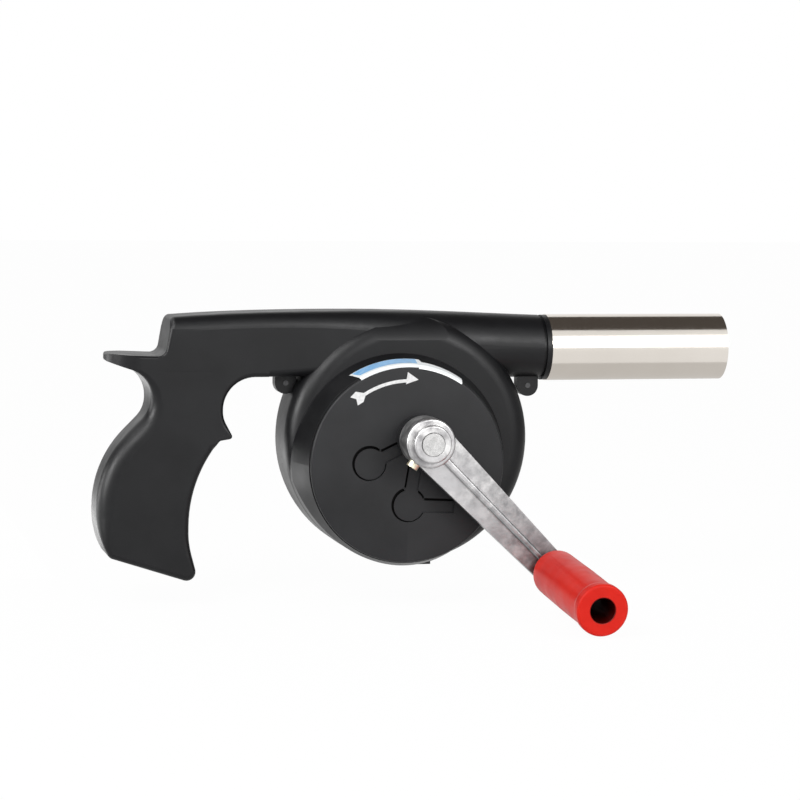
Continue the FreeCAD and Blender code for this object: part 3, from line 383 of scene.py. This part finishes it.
def make_piece(name, points, faces, material, body):
    """A visible mesh piece, its points in millimetres in the frame's axes."""
    obj = new_object(name, points, faces)
    obj.data.materials.append(material)
    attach(obj, body)


def strip(name, sections, material):
    """A thin strip of the sticker, through sections of equally many points."""
    steps = len(sections[0])
    faces = []
    for row in range(len(sections) - 1):
        for i in range(steps - 1):
            a = row * steps + i
            faces.append((a, a + 1, a + steps + 1, a + steps))
    points = [point for section in sections for point in section]
    make_piece(name, points, faces, material, "housing")


# -------------------------------------------------------------- sticker
def slanted_end(first, last, count, outer, inner):
    """Rows at the sticker's left end, where its inner edge runs in from its outer one."""
    rows = []
    for angle in between(first, last, count):
        share = (first - angle) / (first - last)
        rows.append((angle, outer, outer + share * (inner - outer) + LABEL_LEAST_WIDTH))
    return rows


def wall_strip(name, rows, lift, material):
    """A strip on the case's sloping wall; rows are (angle, outer depth, inner depth)."""
    sections = []
    for angle, outer, inner in rows:
        section = []
        for depth in between(outer, inner, 5):
            share = (CASE_FRONT_DEPTH - depth) / (CASE_FRONT_DEPTH - CASE_FOOT_DEPTH)
            wall = CASE_FRONT_RADIUS + share * (CASE_FOOT_RADIUS - CASE_FRONT_RADIUS)
            section.append(on_case(wall + lift, angle, depth))
        sections.append(section)
    strip(name, sections, material)


def edge_strip(name, first, last, count, bends, material):
    """The sticker's lower edge, up the cover's side and round its rim by 30 degree bends."""
    profile = [(CASE_FRONT_RADIUS + LABEL_EDGE_LIFT, LABEL_INNER_DEPTH),
               (CASE_FRONT_RADIUS - 0.1, CASE_FRONT_DEPTH + LABEL_EDGE_LIFT),
               (COVER_RADIUS + 0.12, CASE_FRONT_DEPTH + 0.3),
               (COVER_RADIUS + LABEL_EDGE_LIFT, COVER_DEPTH - COVER_ROUNDING)]
    for bend in range(1, bends + 1):
        profile.append(around((COVER_RADIUS - COVER_ROUNDING, COVER_DEPTH - COVER_ROUNDING),
                              COVER_ROUNDING + LABEL_EDGE_LIFT, 30.0 * bend))
    strip(name, [[on_case(radius, angle, depth) for radius, depth in profile]
                 for angle in between(first, last, count)], material)


def sticker():
    """The bare blue and white sticker on the case's wall and the cover's rim."""
    white = sticker_white()
    white_rows = slanted_end(122.4, LABEL_START, 5, LABEL_OUTER_DEPTH, LABEL_INNER_DEPTH)
    white_rows += [(angle, LABEL_OUTER_DEPTH, LABEL_INNER_DEPTH)
                   for angle in between(119.2, 82.0, 32)]
    white_rows += [(angle, outer, LABEL_INNER_DEPTH) for angle, outer
                   in zip(between(81.0, LABEL_END, 24), between(27.6, 28.8, 24))]
    wall_strip("label_white", white_rows, LABEL_WHITE_LIFT, white)
    blue_rows = slanted_end(120.9, 118.6, 4, 25.0, 29.6)
    blue_rows += [(angle, 24.8, 30.2) for angle in between(118.0, LABEL_STEP, 30)]
    wall_strip("label_blue", blue_rows, LABEL_BLUE_LIFT, sticker_blue())
    edge_strip("label_edge_left", LABEL_START, LABEL_STEP, 34, 2, white)
    edge_strip("label_edge_right", LABEL_STEP, LABEL_END, 28, 3, white)


sticker()


# -------------------------------------------------------- grooved cover
# Edges bent by more than this, in radians, stay sharp.
SHARP_ANGLE = 0.55


def groove_cutter(name, pairs):
    """A solid between two lines of (x, z) points, given in pairs, through the cover's front."""
    points = []
    for depth in (COVER_DEPTH + 0.5, GROOVE_DEPTH):
        for pair in pairs:
            points += [(x, -depth, z) for x, z in pair]
    low = 2 * len(pairs)
    faces = []
    for i in range(len(pairs) - 1):
        a, b, c, d = 2 * i, 2 * i + 1, 2 * i + 3, 2 * i + 2
        faces += [(a, b, c, d), (low + d, low + c, low + b, low + a),
                  (a, d, low + d, low + a), (c, b, low + b, low + c)]
    end = low - 2
    faces += [(1, 0, low, low + 1), (end, end + 1, low + end + 1, low + end)]
    cutter = new_object(name, points, faces)
    shape = bmesh.new()
    shape.from_mesh(cutter.data)
    bmesh.ops.recalc_face_normals(shape, faces=shape.faces)
    shape.to_mesh(cutter.data)
    shape.free()
    return cutter


def pocket_groove(name, centre, first, last):
    """Groove inside a pocket's wall from one angle to another, widest at the upper left."""
    inner_centre = (centre[0] + GROOVE_SHIFT, centre[1] - GROOVE_SHIFT)
    return groove_cutter(name, [(around(centre, POCKET_RADIUS, angle),
                                 around(inner_centre, POCKET_RADIUS - GROOVE_WIDTH, angle))
                                for angle in between(first, last, 40)])


def channel_groove(name, centre, end, last, width):
    """Groove along the left wall of the channel from a pocket's centre towards an end."""
    length = math.hypot(end[0] - centre[0], end[1] - centre[1])
    along = ((end[0] - centre[0]) / length, (end[1] - centre[1]) / length)
    left = (-along[1], along[0])
    pairs = []
    for reach in (CHANNEL_START, last):
        pairs.append([tuple(centre[i] + along[i] * reach + left[i] * aside for i in (0, 1))
                      for aside in (CHANNEL_HALF_WIDTH, CHANNEL_HALF_WIDTH - width)])
    return groove_cutter(name, pairs)


def grooved_cover():
    """The cover again, with deeper grooves along its pocket walls, whose bottoms the cover's
    material paints near-black as shade.
    """
    first, second, third = POCKETS
    side_end = (second[0] + 21.0, second[1] - 1.0)
    cutters = [pocket_groove("cut_a", first, 52.0, 358.0),
               pocket_groove("cut_b", second, 107.0, 330.0),
               pocket_groove("cut_c", second, 23.0, 54.0),
               pocket_groove("cut_d", third, 5.0, 355.0),
               channel_groove("cut_e", first, CRANK_CENTRE, 16.5, 1.3),
               channel_groove("cut_f", second, CRANK_CENTRE, 20.5, 1.1),
               channel_groove("cut_g", second, side_end, 20.8, 1.2)]
    cover = bpy.data.objects.new("grooved_cover", frame["nodes"]["gear_cover"].data.copy())
    scene.collection.objects.link(cover)
    for cutter in cutters:
        cut = cover.modifiers.new(cutter.name, "BOOLEAN")
        cut.operation = "DIFFERENCE"
        cut.solver = "EXACT"
        cut.object = cutter
    shaped = bpy.data.meshes.new_from_object(
        cover.evaluated_get(bpy.context.evaluated_depsgraph_get()))
    cover.modifiers.clear()
    for cutter in cutters:
        bpy.data.objects.remove(cutter)
    shape = bmesh.new()
    shape.from_mesh(shaped)
    for face in shape.faces:
        face.smooth = True
    for edge in shape.edges:
        edge.smooth = len(edge.link_faces) == 2 and edge.calc_face_angle() < SHARP_ANGLE
    shape.to_mesh(shaped)
    shape.free()
    if "custom_normal" in shaped.attributes:
        shaped.attributes.remove(shaped.attributes["custom_normal"])
    shaped.materials.clear()
    shaped.materials.append(MATERIALS["cover_plastic"])
    cover.data = shaped
    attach(cover, "housing")
    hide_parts("gear_cover")


grooved_cover()


# -------------------------------------------------------- turning arrow
def turning_arrow():
    """Curved arrow printed on the cover: fletched tail, band and head, as (radius, angle)."""
    upper_edge = ARROW_RADIUS + ARROW_HALF_WIDTH
    lower_edge = ARROW_RADIUS - ARROW_HALF_WIDTH
    tail_angle = 122.5
    head_angle = 91.6
    steps = 24
    band = between(tail_angle, head_angle, steps)
    spots = [(upper_edge, angle) for angle in band] + [(lower_edge, angle) for angle in band]
    faces = [(i, i + 1, steps + i + 1, steps + i) for i in range(steps - 1)]
    head = len(spots)
    spots += [(41.3, 90.8), (38.1, 83.5), (35.9, 92.4),
              (lower_edge, head_angle), (upper_edge, head_angle)]
    tail = len(spots)
    spots += [(upper_edge, tail_angle), (40.7, 126.3), (40.3, 131.2), (37.9, 128.9),
              (35.3, 130.9), (34.9, 126.0), (lower_edge, tail_angle)]
    faces += [tuple(range(head, tail)), (tail, tail + 1, tail + 2, tail + 3),
              (tail + 3, tail + 4, tail + 5, tail + 6), (tail, tail + 3, tail + 6)]
    make_piece("turning_arrow",
               [on_case(radius, angle, COVER_DEPTH + ARROW_LIFT) for radius, angle in spots],
               faces, print_white(), "housing")


turning_arrow()


# ------------------------------------------------------ floor and light
LOWEST = bounds_before[0][2]
ON_FLOOR = LOWEST - 0.0005
MIDDLE = (-0.145, -0.02, -0.03)
UPRIGHT = (0.0, math.radians(90.0), 0.0)
LEVEL = (0.0, 0.0, 0.0)
WHITE = (1.0, 1.0, 1.0)
BLACK = (0.0, 0.0, 0.0)
FLOOR_GLOW = 0.97
SKY_LIGHT = 0.55

# Name, place, width, height and power in watts.
LAMPS = (
    ("key_light", (-0.85, -0.70, 0.75), 0.6, 0.5, 9.0),
    ("front_light", (0.32, -1.05, 0.42), 1.3, 0.8, 6.0),
)
# The same for lamps that show only as streaks on the shiny surfaces.
STREAK_LAMPS = (
    ("left_light", (-1.25, -0.25, 0.26), 0.4, 0.4, 9.0),
    ("upper_left_light", (-0.75, 0.05, 0.78), 0.3, 0.3, 2.0),
    ("barrel_light", (0.20, -0.95, 0.32), 0.25, 0.20, 2.6),
)
# Name, two sizes, place, turn and colour.
CARDS = (
    ("ceiling_card", 1.85, 1.19, (0.475, 0.20, 0.8), LEVEL, (0.085, 0.074, 0.066)),
    ("left_card", 0.45, 1.7, (-0.75, 0.90, 0.06), UPRIGHT, (0.03, 0.03, 0.03)),
    ("right_card", 0.60, 1.4, (0.42, 0.25, 0.14), UPRIGHT, (0.35, 0.35, 0.35)),
    ("left_glow", 0.20, 0.35, (-0.745, 0.30, -0.01), UPRIGHT, (5.0, 5.0, 5.0)),
    ("low_glow", 0.30, 0.35, (-0.45, 0.25, ON_FLOOR), LEVEL, (3.0, 3.0, 3.0)),
    ("tube_card", 0.40, 0.40, (0.10, 0.11, ON_FLOOR), LEVEL, (0.70, 0.69, 0.68)),
)


def staged_plane(name, size_x, size_y, location, turn=LEVEL):
    """A rectangle of the backdrop, in metres."""
    x, y = size_x / 2, size_y / 2
    obj = new_object(name, [(-x, -y, 0), (x, -y, 0), (x, y, 0), (-x, y, 0)],
                     [(0, 1, 2, 3)], 1.0)
    obj.location = location
    obj.rotation_euler = turn
    return obj


def background_rays(tree):
    """A socket that is 1 for rays that show the background, and 0 for those that light."""
    path = tree.nodes.new("ShaderNodeLightPath")
    total = path.outputs["Is Camera Ray"]
    for name in ("Is Glossy Ray", "Is Transmission Ray"):
        adding = tree.nodes.new("ShaderNodeMath")
        adding.operation = "ADD"
        tree.links.new(total, adding.inputs[0])
        tree.links.new(path.outputs[name], adding.inputs[1])
        total = adding.outputs["Value"]
    return total


def white_floor():
    """Floor that looks white and still takes the object's shadow."""
    floor = staged_plane("floor", 8.0, 8.0, (0.0, 0.0, LOWEST - 0.001))
    look = Look("floor_white")
    look.set("Base Color", (0.82, 0.82, 0.82))
    look.set("Roughness", 0.9)
    glow = look.add("ShaderNodeEmission")
    look.put(glow.inputs["Color"], WHITE)
    look.put(glow.inputs["Strength"], 1.0)
    mix = look.add("ShaderNodeMixShader")
    seen = look.calculate("MULTIPLY", background_rays(look.tree), FLOOR_GLOW)
    look.link(seen, mix.inputs["Fac"])
    look.link(look.shader.outputs["BSDF"], mix.inputs[1])
    look.link(glow.outputs["Emission"], mix.inputs[2])
    look.link(mix.outputs["Shader"], look.tree.nodes["Material Output"].inputs["Surface"])
    floor.data.materials.append(look.material)


def white_world():
    """World that looks white behind the object and lights it from all sides."""
    world = bpy.data.worlds.new("studio")
    scene.world = world
    world.use_nodes = True
    tree = world.node_tree
    sky = tree.nodes["Background"]
    sky.inputs["Color"].default_value = (*WHITE, 1.0)
    level = tree.nodes.new("ShaderNodeMapRange")
    level.inputs["To Min"].default_value = SKY_LIGHT
    level.inputs["To Max"].default_value = 1.0
    tree.links.new(background_rays(tree), level.inputs["Value"])
    tree.links.new(level.outputs["Result"], sky.inputs["Strength"])


def soft_light(name, location, size_x, size_y, power):
    """A rectangular lamp aimed at the middle of the object."""
    lamp = bpy.data.lights.new(name, "AREA")
    lamp.shape = "RECTANGLE"
    lamp.size = size_x
    lamp.size_y = size_y
    lamp.energy = power
    obj = bpy.data.objects.new(name, lamp)
    obj.location = location
    way = Vector(MIDDLE) - Vector(location)
    obj.rotation_euler = way.to_track_quat("-Z", "Y").to_euler()
    obj.visible_camera = False
    scene.collection.objects.link(obj)
    return obj


def reflected_card(name, size_x, size_y, location, turn, colour):
    """A dark or glowing card that only reflections on the object show."""
    card = staged_plane(name, size_x, size_y, location, turn)
    card.visible_camera = False
    card.visible_diffuse = False
    card.visible_shadow = False
    look = Look(name + "_look")
    look.set("Base Color", BLACK)
    look.set("Emission Color", colour)
    look.set("Emission Strength", 1.0)
    look.set("Roughness", 1.0)
    look.set("Specular IOR Level", 0.0)
    card.data.materials.append(look.material)


white_floor()
white_world()
for row in LAMPS:
    soft_light(*row)
for row in STREAK_LAMPS:
    soft_light(*row).visible_diffuse = False
for row in CARDS:
    reflected_card(*row)

# --------------------------------------------------------------- camera
YAW = math.radians(13.93)
PITCH = math.radians(5.66)
ROLL = math.radians(0.73)
CAMERA_PLACE = Vector((-0.45016, -1.27003, 0.09981))
forward = Vector((math.sin(YAW) * math.cos(PITCH), math.cos(YAW) * math.cos(PITCH),
                  -math.sin(PITCH)))
level_right = Vector((math.cos(YAW), -math.sin(YAW), 0.0))
level_up = level_right.cross(forward)
right = level_right * math.cos(ROLL) + level_up * math.sin(ROLL)
up = level_up * math.cos(ROLL) - level_right * math.sin(ROLL)
camera_data = bpy.data.cameras.new("camera")
camera_data.sensor_width = 36.0
camera_data.lens = 129.69
camera_data.shift_x = -0.0444
camera_data.shift_y = 0.0163
camera = bpy.data.objects.new("camera", camera_data)
camera.matrix_world = Matrix((
    (right.x, up.x, -forward.x, CAMERA_PLACE.x),
    (right.y, up.y, -forward.y, CAMERA_PLACE.y),
    (right.z, up.z, -forward.z, CAMERA_PLACE.z),
    (0.0, 0.0, 0.0, 1.0)))
scene.collection.objects.link(camera)
scene.camera = camera

scene.view_settings.view_transform = "Standard"
